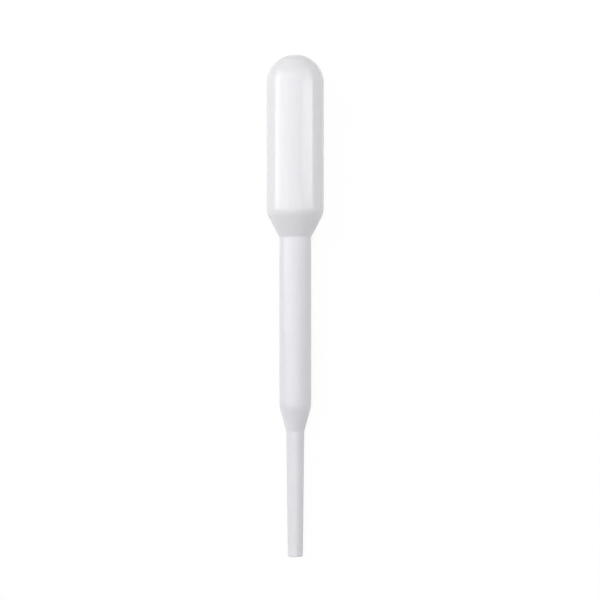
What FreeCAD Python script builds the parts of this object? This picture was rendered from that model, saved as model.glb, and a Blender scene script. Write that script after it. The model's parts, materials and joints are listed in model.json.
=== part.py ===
import FreeCAD, Part
import math
import os

# A plastic dropper pipette, blow-moulded in one piece from polyethylene: a thin open tip,
# a straight stem and a squeeze bulb that ends in a dome. It is a hollow body of revolution
# with a fine ridge along each side, where the two halves of the mould met.
#
# It is drawn standing along +Y, from the mouth of the tip at y = 0 to the top of the dome,
# and then laid down as it comes to rest: on the lip of the tip and the rounded lower edge
# of the bulb. Stations are distances from the mouth, measured along the pipette's own axis.

# Driving dimensions, outside, mm
TIP_LENGTH = 37.4
MOUTH_DIAMETER = 4.4
TIP_TOP_DIAMETER = 5.25
NECK_LENGTH = 7.6
STEM_LENGTH = 50.5
STEM_DIAMETER = 9.4
SHOULDER_LENGTH = 7.2
BULB_STRAIGHT_LENGTH = 38.8
BULB_DIAMETER = 16.9

# Driving dimensions, inside, mm
BORE_DIAMETER = 3.0
TIP_WALL = 0.7
STEM_WALL = 0.6
BULB_WALL = 0.5

# Roundings of the outside, mm, from the mouth upwards
LIP_ROUNDING = 0.25
NECK_FOOT_ROUNDING = 1.5
NECK_TOP_ROUNDING = 9.0
SHOULDER_FOOT_ROUNDING = 1.2
SHOULDER_TOP_ROUNDING = 5.4

# Mould ridge, mm: how far it stands out, how wide it is, how deep its root lies in the wall
RIDGE_HEIGHT = 0.07
RIDGE_WIDTH = 0.3
RIDGE_ROOT = 0.2
RIDGE_SETBACK = 0.8

# Stations of the sections
STEM_START = TIP_LENGTH + NECK_LENGTH
SHOULDER_START = STEM_START + STEM_LENGTH
BULB_START = SHOULDER_START + SHOULDER_LENGTH
DOME_CENTRE = BULB_START + BULB_STRAIGHT_LENGTH

RADIALLY = FreeCAD.Vector(0, 0, 1)
ALONG = FreeCAD.Vector(0, 1, 0)
SIDEWAYS = FreeCAD.Vector(1, 0, 0)


def point(station, radius):
    """A point of the profile, which is drawn in the YZ plane."""
    return FreeCAD.Vector(0, station, radius)


def directions(before, corner, after):
    """Unit vectors into and out of a corner, and half the angle that it turns by."""
    arriving = (corner - before).normalize()
    leaving = (after - corner).normalize()
    return arriving, leaving, arriving.getAngle(leaving) / 2


def rounding(before, corner, after, radius):
    """The arc that rounds a corner: its centre, start, middle and end."""
    arriving, leaving, half_turn = directions(before, corner, after)
    reach = radius * math.tan(half_turn)
    inward = (leaving - arriving).normalize()
    centre = corner + inward * (radius / math.cos(half_turn))
    start = corner - arriving * reach
    end = corner + leaving * reach
    return centre, start, centre - inward * radius, end


def offset(before, corner, after, depth):
    """The corner moved into the wall by depth, so that both of its sides move by depth."""
    arriving, leaving, half_turn = directions(before, corner, after)
    mean = (arriving + leaving).normalize()
    return corner + point(mean.z, -mean.y) * (depth / math.cos(half_turn))


def line(start, end):
    return Part.LineSegment(start, end).toShape()


def arc(start, middle, end):
    return Part.Arc(start, middle, end).toShape()


def rounded_path(corners, radii):
    """Straight edges from corner to corner, with each corner between the ends rounded."""
    edges = []
    last = corners[0]
    for before, corner, after, radius in zip(corners, corners[1:], corners[2:], radii):
        _, start, middle, end = rounding(before, corner, after, radius)
        edges += [line(last, start), arc(start, middle, end)]
        last = end
    return edges + [line(last, corners[-1])]


def dome(radius):
    """The quarter circle from the end of the bulb's straight wall to the axis."""
    slant = radius * math.sqrt(0.5)
    return arc(
        point(DOME_CENTRE, radius),
        point(DOME_CENTRE + slant, slant),
        point(DOME_CENTRE + radius, 0),
    )


def outside_corners(depth, start):
    """Corners of the outside from station start to the dome, moved into the wall by depth."""
    mouth_radius = MOUTH_DIAMETER / 2
    taper = (TIP_TOP_DIAMETER / 2 - mouth_radius) / TIP_LENGTH
    corners = [
        point(start, mouth_radius + taper * start),
        point(TIP_LENGTH, TIP_TOP_DIAMETER / 2),
        point(STEM_START, STEM_DIAMETER / 2),
        point(SHOULDER_START, STEM_DIAMETER / 2),
        point(BULB_START, BULB_DIAMETER / 2),
        point(DOME_CENTRE, BULB_DIAMETER / 2),
    ]
    between = [offset(*three, depth) for three in zip(corners, corners[1:], corners[2:])]
    return [corners[0] - RADIALLY * depth] + between + [corners[-1] - RADIALLY * depth]


def outside_roundings(depth):
    """Radii for the corners between the tip and the bulb: hollow ones grow with depth."""
    return [
        NECK_FOOT_ROUNDING + depth,
        NECK_TOP_ROUNDING - depth,
        SHOULDER_FOOT_ROUNDING + depth,
        SHOULDER_TOP_ROUNDING - depth,
    ]


def outside_path():
    """The outside in section, from the middle of the rim round the lip and up to the dome."""
    rim = point(0, (MOUTH_DIAMETER + BORE_DIAMETER) / 4)
    corners = [rim] + outside_corners(0, 0)
    return rounded_path(corners, [LIP_ROUNDING] + outside_roundings(0)) + [dome(BULB_DIAMETER / 2)]


def inside_path():
    """The inside in section, from the middle of the rim up the tapered bore to the dome."""
    rim = point(0, (MOUTH_DIAMETER + BORE_DIAMETER) / 4)
    outer = outside_corners(0, 0)
    walls = [TIP_WALL, STEM_WALL, STEM_WALL, BULB_WALL]
    inner = [offset(*four) for four in zip(outer, outer[1:], outer[2:], walls)]
    corners = [rim, point(0, BORE_DIAMETER / 2)] + inner + [outer[-1] - RADIALLY * BULB_WALL]
    radii = [
        LIP_ROUNDING,
        NECK_FOOT_ROUNDING + TIP_WALL,
        NECK_TOP_ROUNDING - STEM_WALL,
        SHOULDER_FOOT_ROUNDING + STEM_WALL,
        SHOULDER_TOP_ROUNDING - BULB_WALL,
    ]
    return rounded_path(corners, radii) + [dome(BULB_DIAMETER / 2 - BULB_WALL)]


def face(edges):
    return Part.Face(Part.Wire(Part.__sortEdges__(edges)))


def shell_of_revolution():
    """The wall of the pipette, turned about its axis."""
    top = DOME_CENTRE + BULB_DIAMETER / 2
    crown = line(point(top - BULB_WALL, 0), point(top, 0))
    section = face(outside_path() + inside_path() + [crown])
    return section.revolve(FreeCAD.Vector(), ALONG, 360)


def band_path(depth):
    """One edge of the ridge in section, at this depth in the wall."""
    radii = outside_roundings(depth)
    path = rounded_path(outside_corners(depth, RIDGE_SETBACK), radii)
    return path + [dome(BULB_DIAMETER / 2 - depth)]


def mould_ridge(side):
    """The ridge on one side of the pipette, from just above the mouth to the top of the dome."""
    high = outside_corners(-RIDGE_HEIGHT, RIDGE_SETBACK)[0]
    deep = outside_corners(RIDGE_ROOT, RIDGE_SETBACK)[0]
    top = DOME_CENTRE + BULB_DIAMETER / 2
    crown = line(point(top - RIDGE_ROOT, 0), point(top + RIDGE_HEIGHT, 0))
    section = face(band_path(-RIDGE_HEIGHT) + band_path(RIDGE_ROOT) + [line(high, deep), crown])
    band = section.extrude(SIDEWAYS * RIDGE_WIDTH)
    band.translate(SIDEWAYS * (-RIDGE_WIDTH / 2))
    band.rotate(FreeCAD.Vector(), ALONG, 90 * side)
    return band


def standing_pipette():
    """The whole pipette along +Y, with its mouth at the origin."""
    ridges = [mould_ridge(side) for side in (-1, 1)]
    return shell_of_revolution().fuse(ridges).removeSplitter()


def rest():
    """How the pipette lies: the angle its tip points down by, and its axis's height at the mouth.

    The surface touches two round edges, the lip and the top of the shoulder, so its slope to
    the axis is that of the common tangent of their two arcs.
    """
    rim = point(0, 0)
    corners = outside_corners(0, 0)
    lip = rounding(rim, corners[0], corners[1], LIP_ROUNDING)[0]
    edge = rounding(*corners[3:6], SHOULDER_TOP_ROUNDING)[0]
    apart = edge - lip
    growth = math.asin((SHOULDER_TOP_ROUNDING - LIP_ROUNDING) / apart.Length)
    tilt = math.atan2(apart.z, apart.y) + growth
    height = LIP_ROUNDING - lip.y * math.sin(tilt) + lip.z * math.cos(tilt)
    return tilt, height


def middle_of_length(tilt):
    """The middle, along Y, of the pipette once it is tilted about its mouth."""
    lip = rounding(point(0, 0), *outside_corners(0, 0)[:2], LIP_ROUNDING)[0]
    near = lip.y * math.cos(tilt) - lip.z * math.sin(tilt) - LIP_ROUNDING
    ridge = BULB_DIAMETER / 2 + RIDGE_HEIGHT
    far = (DOME_CENTRE + ridge) * math.cos(tilt) + RIDGE_WIDTH / 2 * math.sin(tilt)
    return (near + far) / 2


def laid_down(pipette):
    """The pipette at rest on z = 0, its bulb towards +Y, centred over the origin."""
    tilt, height = rest()
    pipette.rotate(FreeCAD.Vector(), SIDEWAYS, math.degrees(tilt))
    pipette.translate(FreeCAD.Vector(0, -middle_of_length(tilt), height))
    return pipette


def main():
    os.makedirs("parts", exist_ok=True)
    pipette = laid_down(standing_pipette())
    pipette.exportStep("parts/pipette_body.step")
    tilt, height = rest()
    box = pipette.BoundBox
    print(f"valid {pipette.isValid()}, solids {len(pipette.Solids)}")
    print(f"volume {pipette.Volume:.1f} mm3, tip points down by {math.degrees(tilt):.3f} degrees")
    print(f"axis at the mouth y {-middle_of_length(tilt):.3f}, z {height:.3f}")
    print(f"box {box.XLength:.2f} x {box.YLength:.2f} x {box.ZLength:.2f} mm")


main()
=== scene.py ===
# %% [markdown]
# # A dropper pipette of milky polyethylene
#
# The real object is one blow-moulded piece: a thin open tip, a straight stem and a squeeze
# bulb with a domed end. A tube of soft plastic is caught between the two halves of a mould
# and blown against them, so the whole wall is one skin about half a millimetre thick, and
# a fine ridge stays along each side where the halves met.
#
# The construction comes first, as a fixed frame that nothing here moves. What follows gives
# it a finer skin, its material, a floor, lamps and a camera.

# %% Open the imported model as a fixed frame
import json
import math

import bpy
import numpy as np
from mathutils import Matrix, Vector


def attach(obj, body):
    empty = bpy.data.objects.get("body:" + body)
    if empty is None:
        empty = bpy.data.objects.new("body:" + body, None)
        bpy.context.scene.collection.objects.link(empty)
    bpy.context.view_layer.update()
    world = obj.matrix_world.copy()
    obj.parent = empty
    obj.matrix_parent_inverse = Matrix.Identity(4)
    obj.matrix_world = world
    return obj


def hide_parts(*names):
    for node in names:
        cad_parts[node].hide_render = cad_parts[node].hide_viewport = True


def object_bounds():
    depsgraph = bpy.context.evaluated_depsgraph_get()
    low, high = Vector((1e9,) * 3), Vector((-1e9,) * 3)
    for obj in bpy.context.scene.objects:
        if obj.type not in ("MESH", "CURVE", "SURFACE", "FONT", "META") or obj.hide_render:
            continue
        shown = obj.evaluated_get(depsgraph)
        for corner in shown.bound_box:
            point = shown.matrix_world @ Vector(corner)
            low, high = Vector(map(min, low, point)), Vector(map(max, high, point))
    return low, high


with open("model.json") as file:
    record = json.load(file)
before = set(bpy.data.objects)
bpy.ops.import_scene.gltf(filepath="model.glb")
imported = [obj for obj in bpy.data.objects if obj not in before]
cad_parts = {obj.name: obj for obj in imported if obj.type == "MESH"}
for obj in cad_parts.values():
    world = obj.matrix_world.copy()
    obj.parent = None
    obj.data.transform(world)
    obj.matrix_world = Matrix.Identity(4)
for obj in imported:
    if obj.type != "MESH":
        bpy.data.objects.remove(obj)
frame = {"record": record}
cad_low, cad_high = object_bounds()
print("construction box, mm:", [round(1000 * v, 2) for v in cad_high - cad_low])

# %% [markdown]
# ## Sizes
#
# These are the construction's own sizes, in millimetres. Stations are distances from the
# mouth along the pipette's own axis. The skin has to lie exactly where the solid is, so it
# takes the same stations, radii and roundings.

# %% Sizes of the moulding, mm
MM = 0.001
TIP_LENGTH = 37.4
NECK_LENGTH = 7.6
STEM_LENGTH = 50.5
SHOULDER_LENGTH = 7.2
BULB_STRAIGHT_LENGTH = 38.8
STEM_START = TIP_LENGTH + NECK_LENGTH
SHOULDER_START = STEM_START + STEM_LENGTH
BULB_START = SHOULDER_START + SHOULDER_LENGTH
DOME_CENTRE = BULB_START + BULB_STRAIGHT_LENGTH

MOUTH_RADIUS = 2.2
TIP_TOP_RADIUS = 2.625
STEM_RADIUS = 4.7
BULB_RADIUS = 8.45
BORE_RADIUS = 1.5
TIP_WALL, STEM_WALL, BULB_WALL = 0.7, 0.6, 0.5
LIP_ROUNDING = 0.25
NECK_FOOT, NECK_TOP, SHOULDER_FOOT, SHOULDER_TOP = 1.5, 9.0, 1.2, 5.4

print("overall length, mm:", DOME_CENTRE + BULB_RADIUS)

# %% [markdown]
# ## The outline
#
# A moulding like this is a body of revolution, so its form is one line: where the wall's
# section runs. It could be drawn as a curve object and turned with a Screw modifier, but a
# line worked out as numbers keeps its tangent points exact. The highlight on a glossy
# surface shows at once where a rounding doesn't meet its straight run.
#
# A point of the section is one complex number, with its station as the real part and its
# radius as the imaginary part. Turning a direction is then a multiplication.

# %% Straight runs joined by tangent arcs
RUN_STEP = 1.5
ARC_STEPS = 12


def straight(start, end, step):
    """Evenly spaced points from start up to, but not including, end."""
    count = max(1, round(abs(end - start) / step))
    return start + (end - start) * np.arange(count) / count


def rounded(corners, radii, run_step=RUN_STEP, arc_steps=ARC_STEPS):
    """Points from the first corner to the last, with every corner between them rounded.

    A circle of radius r touches both runs of a corner at r * tan(half the turn) from it. Its
    arc is the circle's centre plus the spoke to the first touching point, and that spoke is
    turned in equal steps through the corner's whole turn.
    """
    pieces, last = [], corners[0]
    for before, corner, after, radius in zip(corners, corners[1:], corners[2:], radii):
        arriving = (corner - before) / abs(corner - before)
        leaving = (after - corner) / abs(after - corner)
        turn = np.angle(leaving / arriving)
        start = corner - arriving * radius * math.tan(abs(turn) / 2)
        spoke = -1j * np.sign(turn) * arriving * radius
        arc = start - spoke + spoke * np.exp(1j * np.linspace(0, turn, arc_steps))
        pieces += [straight(last, start, run_step), arc[:-1]]
        last = arc[-1]
    return np.concatenate(pieces + [straight(last, corners[-1], run_step)])


print("a square corner rounded by 1:", np.round(rounded([0, 5, 5 + 5j], [1], 5, 3), 2))

# %% [markdown]
# ## The outside
#
# The outside starts in the middle of the mouth's rim, turns round the lip, runs up the tip,
# the stem and the bulb, and ends on the axis at the top of the dome. Half a UV sphere would
# do for the dome, but would have to be joined to the tube. As the last stretch of the same
# line it meets the bulb's wall without a kink. Its points lie closer together near the
# axis, so that the fan of triangles that closes its top is too small to show.

# %% The outside of the wall
DOME_STEPS = 48
DOME_CROWDING = 1.3


def dome(radius, steps):
    """A quarter circle from the bulb's wall to the axis, with closer steps near the axis."""
    angle = math.pi / 2 * (1 - np.linspace(0, 1, steps)) ** DOME_CROWDING
    return DOME_CENTRE + radius * np.exp(1j * angle)


rim = (MOUTH_RADIUS + BORE_RADIUS) / 2 * 1j
outer = [
    MOUTH_RADIUS * 1j,
    TIP_LENGTH + TIP_TOP_RADIUS * 1j,
    STEM_START + STEM_RADIUS * 1j,
    SHOULDER_START + STEM_RADIUS * 1j,
    BULB_START + BULB_RADIUS * 1j,
    DOME_CENTRE + BULB_RADIUS * 1j,
]
outer_roundings = [LIP_ROUNDING, NECK_FOOT, NECK_TOP, SHOULDER_FOOT, SHOULDER_TOP]
outside_line = np.concatenate(
    [rounded([rim] + outer, outer_roundings), dome(BULB_RADIUS, DOME_STEPS)]
)
print("points of the outside:", len(outside_line))

# %% [markdown]
# ## The wall
#
# The inside of the wall could come from a Solidify modifier, but that makes one thickness
# all over, and a blown wall is thicker in the narrow tip than in the wide bulb. So each
# corner of the outside is moved inwards by the wall's thickness there. A hollow rounding
# grows by the wall's thickness on the inside, and any other shrinks by it.
#
# The inside shows only through the mouth, so its points lie farther apart. It starts at the
# same point of the rim as the outside, and the two lines join there.

# %% The inside of the wall
INSIDE_DOME_STEPS = 20
INSIDE_RUN_STEP = 4.0
INSIDE_ARC_STEPS = 8


def inward(before, corner, after, depth):
    """The corner moved into the wall so that both of its runs move by depth."""
    arriving = (corner - before) / abs(corner - before)
    leaving = (after - corner) / abs(after - corner)
    mean = (arriving + leaving) / abs(arriving + leaving)
    return corner - 1j * mean * depth / math.cos(np.angle(leaving / arriving) / 2)


walls = [TIP_WALL, STEM_WALL, STEM_WALL, BULB_WALL]
inner = [inward(*three, wall) for *three, wall in zip(outer, outer[1:], outer[2:], walls)]
inner_roundings = [
    LIP_ROUNDING,
    NECK_FOOT + TIP_WALL,
    NECK_TOP - STEM_WALL,
    SHOULDER_FOOT + STEM_WALL,
    SHOULDER_TOP - BULB_WALL,
]
inner_corners = [rim, BORE_RADIUS * 1j] + inner + [outer[-1] - BULB_WALL * 1j]
inside_line = np.concatenate(
    [
        rounded(inner_corners, inner_roundings, INSIDE_RUN_STEP, INSIDE_ARC_STEPS),
        dome(BULB_RADIUS - BULB_WALL, INSIDE_DOME_STEPS),
    ]
)
print("points of the inside:", len(inside_line))

# %% [markdown]
# ## The skin
#
# The outline is turned about the axis. The only thing that isn't round is the ridge of the
# mould joint, which runs up one side, over the dome and down the other. Even columns would
# be too far apart to show its flanks, so they are crowded together near the ridge, where
# they are needed, and spread out over the smooth front and back.

# %% Columns round the pipette
COLUMNS = 240
CROWDING = 0.75
even = np.linspace(0, 2 * math.pi, COLUMNS, endpoint=False)
around = even - CROWDING / 2 * np.sin(2 * even)
spacing = np.diff(around)[[0, COLUMNS // 4 - 1]] * BULB_RADIUS
print("columns on the bulb, mm apart at the ridge and midway:", np.round(spacing, 3))

# %% [markdown]
# ## The mould ridge
#
# Where the halves of the mould met, a little plastic was pressed into the joint. The ridge
# is a third of a millimetre wide and stands out by less than a tenth, with steep but soft
# flanks. It could be a piece of its own, but on the real object it is one with the wall, so
# the wall itself is lifted there, along its own normal.

# %% How far the ridge stands out
RIDGE_HEIGHT = 0.07
RIDGE_WIDTH = 0.3
RIDGE_FLANK = 0.06
RIDGE_SETBACK = 0.8


def smooth_step(value):
    """0 below 0, 1 above 1, and 3v^2 - 2v^3 between, which starts and ends level."""
    value = np.clip(value, 0, 1)
    return value * value * (3 - 2 * value)


def ridge_lift(station, across):
    """How far the surface stands out: full height where it is within half the ridge's width of
    the mould's joint, falling to nothing over the flank, and starting just above the mouth."""
    over = smooth_step((RIDGE_WIDTH / 2 + RIDGE_FLANK / 2 - abs(across)) / RIDGE_FLANK)
    along = smooth_step((station - RIDGE_SETBACK) / RIDGE_FLANK)
    return RIDGE_HEIGHT * over * along


print("ridge on the stem, mm high:", ridge_lift(SHOULDER_START, 0.0))

# %% [markdown]
# ## The surface of revolution
#
# A Screw or Spin would turn the line into a mesh of even columns. Here the columns are
# uneven and the ridge has to be added, so every point is worked out from its station, its
# radius and its angle. The outside runs from the dome down to the rim, and the inside goes
# on from there and up again, so the wall is a single grid.

# %% Turn the outline into a surface
def outline_normals(line):
    """Unit normals of the outside: each step's direction turned a quarter turn outwards."""
    step = np.gradient(line)
    return 1j * step / abs(step)


def turned(line, lift_of=None):
    """A grid with a row for each point of the line and a column for each angle: x is radius *
    cos(angle), y the station and z radius * sin(angle), moved along the normal by the lift."""
    grid = np.repeat(line[:, None], COLUMNS, axis=1)
    if lift_of is not None:
        lift = lift_of(grid.real, grid.imag * np.sin(around))
        grid = grid + outline_normals(line)[:, None] * lift
    return np.stack([grid.imag * np.cos(around), grid.real, grid.imag * np.sin(around)], axis=-1)


skin = np.concatenate([turned(outside_line, ridge_lift)[::-1], turned(inside_line)[1:]])
print("grid of the skin:", skin.shape[0], "rows by", skin.shape[1], "columns")

# %% [markdown]
# ## The pipette at rest
#
# The grid is still upright on its mouth, along +Y. On a table the pipette rolls onto its
# side and comes to rest on the lip of the tip and the lower edge of the bulb, with the tip
# pointing slightly down. The direction of the construction's stem mount gives that slope.
# The skin is turned by it and then moved until the low corner of its box is the low corner
# of the construction's box.

# %% Lay the skin down where the solid lies
stem = next(mount for mount in frame["record"]["mounts"] if mount["name"] == "stem")
slope_y, slope_z = -stem["axis"][1], -stem["axis"][2]
tilt = math.atan2(slope_z, slope_y)
x, along, upright = np.moveaxis(skin, -1, 0)
lying = np.stack(
    [x, along * slope_y - upright * slope_z, along * slope_z + upright * slope_y], axis=-1
)
lying = lying * MM
shift = np.array(cad_low) - lying.min(axis=(0, 1))
lying += shift
# The mouth's place along the tilted axis, counted from the origin.
mouth_place = shift[1] * slope_y + shift[2] * slope_z
print("tip points down by", round(math.degrees(tilt), 2), "degrees")
print("mouth, mm along the axis from the origin:", round(mouth_place / MM, 2))

# %% [markdown]
# ## One closed mesh
#
# The grid becomes a mesh straight from its numbers, with no operator that needs a selection
# or a mode. The last column joins the first. The first and the last row lie on the axis, so
# each becomes a single vertex, and the mesh is closed everywhere.

# %% Join the grid into a closed mesh
def closed_mesh(name, grid):
    """A mesh from a grid whose first and last rows are each a single point.

    Four neighbours of the grid make a face, the last column joins the first, and the first
    and last rows become one vertex each, with triangles round it.
    """
    rows, columns = grid.shape[:2]
    points = np.concatenate([grid[:1, 0], grid[1:-1].reshape(-1, 3), grid[-1:, 0]])
    ring = 1 + np.arange((rows - 2) * columns).reshape(rows - 2, columns)
    beside = np.roll(ring, -1, axis=1)
    quads = np.stack([ring[:-1], beside[:-1], beside[1:], ring[1:]], axis=-1).reshape(-1, 4)
    first = np.stack([np.zeros(columns, int), beside[0], ring[0]], axis=-1)
    last = np.stack([np.full(columns, len(points) - 1), ring[-1], beside[-1]], axis=-1)
    mesh = bpy.data.meshes.new(name)
    mesh.from_pydata(points.tolist(), [], first.tolist() + quads.tolist() + last.tolist())
    mesh.shade_smooth()
    return mesh


pipette_mesh = closed_mesh("pipette_skin", lying)
pipette = bpy.data.objects.new("pipette_skin", pipette_mesh)
bpy.context.scene.collection.objects.link(pipette)
print("skin:", len(pipette_mesh.polygons), "faces")

# %% [markdown]
# ## The plastic's volume
#
# The volume that the mesh encloses is a good test of it, since a hole or a face turned the
# wrong way would spoil it. It has to come out as the volume of plastic in the construction,
# about 2670 cubic millimetres.

# %% Measure the volume of the wall
def enclosed_volume(mesh):
    """The sum over all triangles of (a . b x c) / 6, which is positive if faces look outwards."""
    mesh.calc_loop_triangles()
    corners = np.empty(len(mesh.loop_triangles) * 3, np.int32)
    mesh.loop_triangles.foreach_get("vertices", corners)
    places = np.empty(len(mesh.vertices) * 3, np.float32)
    mesh.vertices.foreach_get("co", places)
    a, b, c = places.reshape(-1, 3)[corners].astype(float).reshape(-1, 3, 3).transpose(1, 0, 2)
    return np.einsum("ij,ij->", a, np.cross(b, c)) / 6


print("volume of the wall, mm3:", round(enclosed_volume(pipette_mesh) / MM**3, 1))

# %% [markdown]
# ## Colours and nodes
#
# Colours are written as the sRGB hex values a paint program shows. Shaders work in linear
# light, so one function converts them. Two more keep each material short enough to read:
# one adds a node with its settings and its links, and one starts an empty material.

# %% Three small helpers
def linear(hex_colour):
    """An sRGB hex colour as linear red, green, blue and alpha."""
    srgb = np.array([int(hex_colour[i : i + 2], 16) for i in (1, 3, 5)]) / 255
    low, high = srgb / 12.92, ((srgb + 0.055) / 1.055) ** 2.4
    return (*np.where(srgb <= 0.04045, low, high).tolist(), 1.0)


def add(tree, kind, inputs, **settings):
    """Adds a node. inputs gives sockets a value each, or the output that feeds them."""
    node = tree.nodes.new(kind)
    for name, value in settings.items():
        setattr(node, name, value)
    for socket, value in inputs.items():
        if isinstance(value, bpy.types.NodeSocket):
            tree.links.new(value, node.inputs[socket])
        else:
            node.inputs[socket].default_value = value
    return node


def new_material(name):
    """An empty node material and its output's surface socket."""
    material = bpy.data.materials.new(name)
    material.use_nodes = True
    material.node_tree.nodes.clear()
    output = material.node_tree.nodes.new("ShaderNodeOutputMaterial")
    return material, material.node_tree, output.inputs["Surface"]


print("#808080 in linear light:", round(linear("#808080")[0], 3))

# %% [markdown]
# ## The plastic
#
# Natural low-density polyethylene is a waxy, milky white with a cool tint. Three things keep
# a moulding of it from looking like paint. Light goes a little way in and comes out again
# beside where it entered, which softens shadows on it. The milkiness is not quite even: it
# is cloudy, and drawn out along the tube, because the melt hung down as a tube before it was
# blown. And its surface is a print of the mould's, satin with a fine grain, on a wall that
# cooled a little unevenly, so that long reflections waver. The stem and the tip are painted a
# shade greyer than the bulb. This is painted shade, which makes them look less lit than the
# bulb, and is not a colour of the plastic.

# %% Low-density polyethylene, blow-moulded: measures
LDPE_IOR = 1.51
HEAD_ON = ((LDPE_IOR - 1) / (LDPE_IOR + 1)) ** 2
LDPE_ROUGHNESS = 0.19
SATIN_SPREAD = 0.015
# The stem's colour is the bulb's with painted shade on it: a shade greyer, so the stem and the tip
# look darker.
STEM_PAINTED_SHADE_COLOUR = "#E2E1E6"
BULB_COLOUR = "#E9E8EC"
# How far the clouds move the colour, as a share of the step from the stem's to the bulb's.
UNEVENNESS = 0.6
SCATTER_SHARE = 0.2
SCATTER_DEPTH = 0.8 * MM
CLOUD_SIZE = 5.0 * MM
FLOW_SIZE = 0.9 * MM
FLOW_STRETCH = 14.0
WAVE_SIZE = 7.0 * MM
WAVE_HEIGHT = 0.008 * MM
# The real grain is some 0.05 mm across, too fine to draw, so it is drawn five times coarser.
GRAIN_SIZE = 0.25 * MM
GRAIN_HEIGHT = 0.002 * MM
streak_length = FLOW_SIZE * FLOW_STRETCH / MM
print("streaks, mm:", round(FLOW_SIZE / MM, 1), "wide and", round(streak_length, 1), "long")

# %% [markdown]
# ## Noises that run through the plastic
#
# An image wrapped round a round part would show a seam somewhere. A noise in object
# coordinates runs through the solid like the grain of wood, and has none. One mapping turns
# the coordinates to the tilted axis and stretches them along it. It serves the streaks, and
# its second coordinate also tells the stem from the bulb.

# %% Clouds and streaks
NOISE_DETAIL = 2.0
NOISE_ROUGHNESS = 0.5
# A noise stays near one half, and the sum of two stays near one.
NOISE_SPAN = (0.3, 0.7)
SUM_SPAN = (0.7, 1.3)


def noise(tree, vector, size):
    """A noise around one half whose largest features are about this size."""
    inputs = {"Vector": vector, "Scale": 1 / size}
    inputs |= {"Detail": NOISE_DETAIL, "Roughness": NOISE_ROUGHNESS}
    return add(tree, "ShaderNodeTexNoise", inputs).outputs["Fac"]


def stretched(tree, value, span, result):
    """A value from the first span moved evenly into the second."""
    inputs = {"Value": value, "From Min": span[0], "From Max": span[1]}
    inputs |= {"To Min": result[0], "To Max": result[1]}
    return add(tree, "ShaderNodeMapRange", inputs).outputs["Result"]


plastic, tree, surface = new_material("low_density_polyethylene")
position = add(tree, "ShaderNodeTexCoord", {}).outputs["Object"]
drawn_out = add(
    tree,
    "ShaderNodeMapping",
    {"Vector": position, "Rotation": (-tilt, 0, 0), "Scale": (1, FLOW_STRETCH, 1)},
    vector_type="TEXTURE",
).outputs["Vector"]
clouds = noise(tree, position, CLOUD_SIZE)
flow = noise(tree, drawn_out, FLOW_SIZE)
up_the_tube = add(tree, "ShaderNodeSeparateXYZ", {"Vector": drawn_out}).outputs["Y"]
shoulder = [mouth_place + station * MM for station in (SHOULDER_START, BULB_START)]
# Painted shade: 0 on the stem and the tip, rising over the shoulder to 1 in the bulb, where no
# shade is painted.
painted_shade_ramp = stretched(tree, up_the_tube, [place / FLOW_STRETCH for place in shoulder], (0, 1))
print("shoulder, mm along the axis from the origin:", [round(place / MM, 1) for place in shoulder])

# %% [markdown]
# ## Milkiness and painted shade
#
# The colour goes from the stem's, which carries painted shade, to the bulb's over the
# shoulder, and clouds and streaks move it a little either way. Two materials would leave a
# hard line where they meet, and the pipette is one piece of one plastic, so it is one
# material whose colour changes.

# %% Milkiness and painted shade
uneven = add(tree, "ShaderNodeMath", {0: clouds, 1: flow}, operation="ADD").outputs[0]
milkiness_and_painted_shade = add(
    tree,
    "ShaderNodeMath",
    {0: stretched(tree, uneven, SUM_SPAN, (0, UNEVENNESS)), 1: painted_shade_ramp},
    operation="ADD",
).outputs[0]
# The colour of the stem and the tip carries painted shade, and the bulb's is the plastic's own.
milk_and_painted_shade = add(
    tree,
    "ShaderNodeMix",
    {
        "Factor": stretched(tree, milkiness_and_painted_shade, (0, 1 + UNEVENNESS), (0, 1)),
        "A": linear(STEM_PAINTED_SHADE_COLOUR),
        "B": linear(BULB_COLOUR),
    },
    data_type="RGBA",
)
print("step between the colours, in linear light:")
print([round(b - a, 3) for a, b in zip(linear(STEM_PAINTED_SHADE_COLOUR)[:3], linear(BULB_COLOUR)[:3])])

# %% [markdown]
# ## Satin
#
# The streaks vary the gloss a little too. Two bumps lie on top of each other: long low waves
# in the wall, and the mould's fine grain. Both are far too low to change the outline, so
# they need no faces of their own and only turn the normal.

# %% Gloss, waves and grain
satin_span = (LDPE_ROUGHNESS - SATIN_SPREAD, LDPE_ROUGHNESS + SATIN_SPREAD)
satin = stretched(tree, flow, NOISE_SPAN, satin_span)
waves = add(
    tree,
    "ShaderNodeBump",
    {"Height": noise(tree, position, WAVE_SIZE), "Strength": 1.0, "Distance": WAVE_HEIGHT},
)
grain = add(
    tree,
    "ShaderNodeBump",
    {
        "Height": noise(tree, position, GRAIN_SIZE),
        "Strength": 1.0,
        "Distance": GRAIN_HEIGHT,
        "Normal": waves.outputs["Normal"],
    },
)
print("roughness from", round(satin_span[0], 3), "to", round(satin_span[1], 3))

# %% [markdown]
# ## The plastic put together
#
# Real polyethylene lets some light through, and a refracting wall would be true to it. But
# light would have to pass four surfaces on its way through the tube, which takes far more
# samples to come out clean. Light that enters, spreads and comes out again gives a milky
# look for less: a fifth of it does so here, within about a millimetre, and the rest is
# scattered at once. Its mirror reflection is the one that its refractive index gives.

# %% The plastic's shader
shader = add(
    tree,
    "ShaderNodeBsdfPrincipled",
    {
        "Base Color": milk_and_painted_shade.outputs["Result"],
        "Roughness": satin,
        "IOR": LDPE_IOR,
        "Normal": grain.outputs["Normal"],
        "Subsurface Weight": SCATTER_SHARE,
        "Subsurface Radius": (1.0, 1.0, 1.0),
        "Subsurface Scale": SCATTER_DEPTH,
    },
)
tree.links.new(shader.outputs["BSDF"], surface)
pipette_mesh.materials.append(plastic)
print(plastic.name, "mirrors head on, per cent:", round(100 * HEAD_ON, 1))

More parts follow.
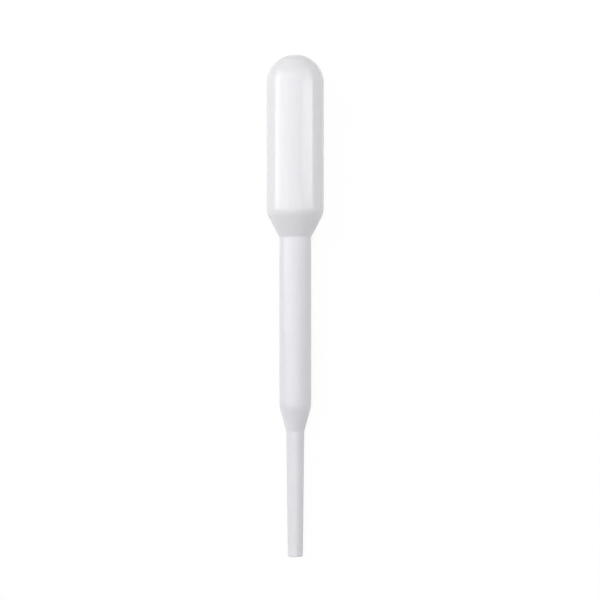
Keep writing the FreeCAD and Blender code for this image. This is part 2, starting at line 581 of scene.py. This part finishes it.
# %% [markdown]
# ## Floor and surroundings
#
# Small laboratory goods are shown on white paper. Lamps bright enough to turn the paper
# white would bleach the plastic too, so the paper and the world give their own white to rays
# that come from the camera, from a reflection or through a clear material. A light path node
# tells these rays from the ones that only carry light.

# %% White for the camera and for reflections
DIRECT_RAYS = ("Is Camera Ray", "Is Glossy Ray", "Is Transmission Ray")


def seen_directly(tree):
    """1 for rays from the camera, a reflection or a clear material, and 0 for all others."""
    path = add(tree, "ShaderNodeLightPath", {})
    seen, mirrored, through = (path.outputs[ray] for ray in DIRECT_RAYS)
    either = add(tree, "ShaderNodeMath", {0: seen, 1: mirrored}, operation="MAXIMUM").outputs[0]
    return add(tree, "ShaderNodeMath", {0: either, 1: through}, operation="MAXIMUM").outputs[0]


print("rays that see the white:", ", ".join(DIRECT_RAYS))

# %% [markdown]
# ## The floor
#
# Seen directly, the paper is nine tenths glow and one tenth matt paper. The matt tenth is what
# keeps the pipette's shadow, faint as it is on a white table. To all other rays the paper is
# matt throughout, so it throws the lamps' light back up as real paper does.

# %% A floor of white paper
FLOOR_SIZE = 6.0
FLOOR_OWN_LIGHT = 0.9
# The matt tenth is lit to six tenths of white, and the glow makes up for what it lacks.
GLOW = 1.045
PAPER_COLOUR = "#D9D9D5"
WHITE = linear("#FFFFFF")

paper, tree, surface = new_material("white_paper")
matt = add(tree, "ShaderNodeBsdfDiffuse", {"Color": linear(PAPER_COLOUR)})
glow = add(tree, "ShaderNodeEmission", {"Color": WHITE, "Strength": GLOW})
share = add(
    tree, "ShaderNodeMath", {0: seen_directly(tree), 1: FLOOR_OWN_LIGHT}, operation="MULTIPLY"
)
mixed = add(
    tree,
    "ShaderNodeMixShader",
    {0: share.outputs[0], 1: matt.outputs[0], 2: glow.outputs[0]},
)
tree.links.new(mixed.outputs[0], surface)

half = FLOOR_SIZE / 2
floor_mesh = bpy.data.meshes.new("floor")
floor_corners = [(-half, -half, 0), (half, -half, 0), (half, half, 0), (-half, half, 0)]
floor_mesh.from_pydata(floor_corners, [], [(0, 1, 2, 3)])
floor_mesh.materials.append(paper)
floor = bpy.data.objects.new("floor", floor_mesh)
bpy.context.scene.collection.objects.link(floor)
print("floor, m across:", FLOOR_SIZE, "own light:", round(FLOOR_OWN_LIGHT * GLOW, 3))

# %% [markdown]
# ## The room
#
# Above the floor's far edge the room is seen, and it has to be as white as the paper. As a
# light it does very little: the softboxes shape the plastic, and light from everywhere would
# flatten it.

# %% The room around
ROOM_LIGHT = 0.015
SEEN_WHITE = 1.0

world = bpy.data.worlds.new("studio")
world.use_nodes = True
world.node_tree.nodes.clear()
tree = world.node_tree
seen = add(tree, "ShaderNodeBackground", {"Color": WHITE, "Strength": SEEN_WHITE})
lighting = add(tree, "ShaderNodeBackground", {"Color": WHITE, "Strength": ROOM_LIGHT})
mixed = add(
    tree,
    "ShaderNodeMixShader",
    {0: seen_directly(tree), 1: lighting.outputs[0], 2: seen.outputs[0]},
)
add(tree, "ShaderNodeOutputWorld", {"Surface": mixed.outputs[0]})
bpy.context.scene.world = world
print("room: seen at", SEEN_WHITE, "and lighting at", ROOM_LIGHT)

# %% [markdown]
# ## Lamps
#
# A satin surface shows its surroundings, softened, so what matters is which parts of the
# view from the pipette a lamp fills. Each lamp here is a softbox, a large panel of even
# brightness that faces the pipette, and is given by the angles it covers. Across is counted
# from straight up towards the right, and along from there towards the bulb's end. A point
# lamp would leave a single soft spot, while a panel leaves a bright field whose width and
# length can be chosen.

# %% A softbox
LAMP_DISTANCE = 1.0
NEAR_DISTANCE = 0.5


def panel_width(span, distance=LAMP_DISTANCE):
    """How wide a panel is that fills a span of angles, in degrees, seen from the pipette."""
    return 2 * distance * math.tan(math.radians(span[1] - span[0]) / 2)


def softbox(name, across, along, brightness, distance=LAMP_DISTANCE):
    """A panel that fills two spans of angles, in degrees, seen from the pipette.

    Its middle lies in the direction of the middles of the spans. A panel w wide at distance
    d fills an angle of 2 * atan(w / 2d). With brightness 1 it is as bright as white paper,
    and gives off pi watts for each square metre.
    """
    right, up = (math.radians(sum(span) / 2) for span in (across, along))
    width, length = (panel_width(span, distance) for span in (across, along))
    lamp = bpy.data.lights.new(name, "AREA")
    lamp.shape = "RECTANGLE"
    lamp.size = width * math.cos(up)
    lamp.size_y = length
    lamp.energy = brightness * math.pi * lamp.size * lamp.size_y
    panel = bpy.data.objects.new(name, lamp)
    panel.location = (
        distance * math.sin(right) * math.cos(up),
        distance * math.sin(up),
        distance * math.cos(right) * math.cos(up),
    )
    panel.rotation_euler = (-up, right, 0)
    panel.visible_camera = False
    bpy.context.scene.collection.objects.link(panel)


print("a panel 20 degrees wide, mm:", round(panel_width((0, 20)) / MM))

# %% [markdown]
# ## Where the softboxes stand
#
# Seen from above, a tube mirrors what lies within twice its own slope. A panel low on the
# left therefore draws the long white line near the tube's left edge, one on the right the
# weaker line, and the dark strip at the right edge is the gap below that panel. The two
# far panels are wider. They lie past the bulb's end and carry both lines up onto the dome,
# where they fade out in rounded tops. The cones face the other way, past the tip, where
# there is little light, and so stay darker than the tubes that they join. Two of the panels
# on the right stand nearer than the rest: from there they lie in the bulb's mirror but not
# in the stem's, whose right side stays darker.

# %% Softboxes
softbox("left_strip", (-89, -64), (0, 24), 4.2)
softbox("left_far", (-88, -62), (24, 41), 2.0)
softbox("left_box", (-64, -24), (-8, 36), 2.15)
softbox("top_box", (-24, 28), (1, 36), 1.55)
softbox("top_low_box", (-24, 28), (-20, 1), 1.1)
softbox("right_box", (28, 48), (4, 14), 4.6, NEAR_DISTANCE)
softbox("right_strip", (48, 73.5), (4, 14), 5.0, NEAR_DISTANCE)
softbox("right_far", (44, 73), (14, 49), 2.0)
softbox("tip_box", (-46, 2), (-26, -20), 3.2)
softbox("tip_far", (-50, 50), (-72, -50), 0.65)
print("softboxes:", len(bpy.data.lights))

# %% [markdown]
# ## Camera
#
# A tube is best seen squarely from the side, where its cones and its dome show in profile.
# The camera looks down on the pipette at a right angle to its axis, and so leans by as much
# as the pipette slopes. Its lens is long, which keeps the two sides of the tube almost
# parallel.

# %% Camera
CAMERA_DISTANCE = 0.700
CAMERA_LENS = 140.44
SENSOR_WIDTH = 36.0
NEAREST, FARTHEST = 0.01, 20.0
AIM = np.array([1.4, 1.7, 6.8]) * MM

camera_data = bpy.data.cameras.new("camera")
camera_data.sensor_width = SENSOR_WIDTH
camera_data.lens = CAMERA_LENS
camera_data.clip_start, camera_data.clip_end = NEAREST, FARTHEST
camera = bpy.data.objects.new("camera", camera_data)
camera.location = AIM + CAMERA_DISTANCE * np.array([0, -math.sin(tilt), math.cos(tilt)])
camera.rotation_euler = (tilt, 0, 0)
bpy.context.scene.collection.objects.link(camera)
bpy.context.scene.camera = camera
bpy.context.scene.view_settings.view_transform = "Standard"
print("camera, m:", [round(v, 4) for v in camera.location])

# %% [markdown]
# ## Hand-over
#
# The skin rides on the pipette's only body and stands in for its solid. If the two boxes
# differ, the difference comes from the solid's flat facets alone.

# %% Hand the skin over to the frame
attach(pipette, "root")
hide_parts("pipette_body")
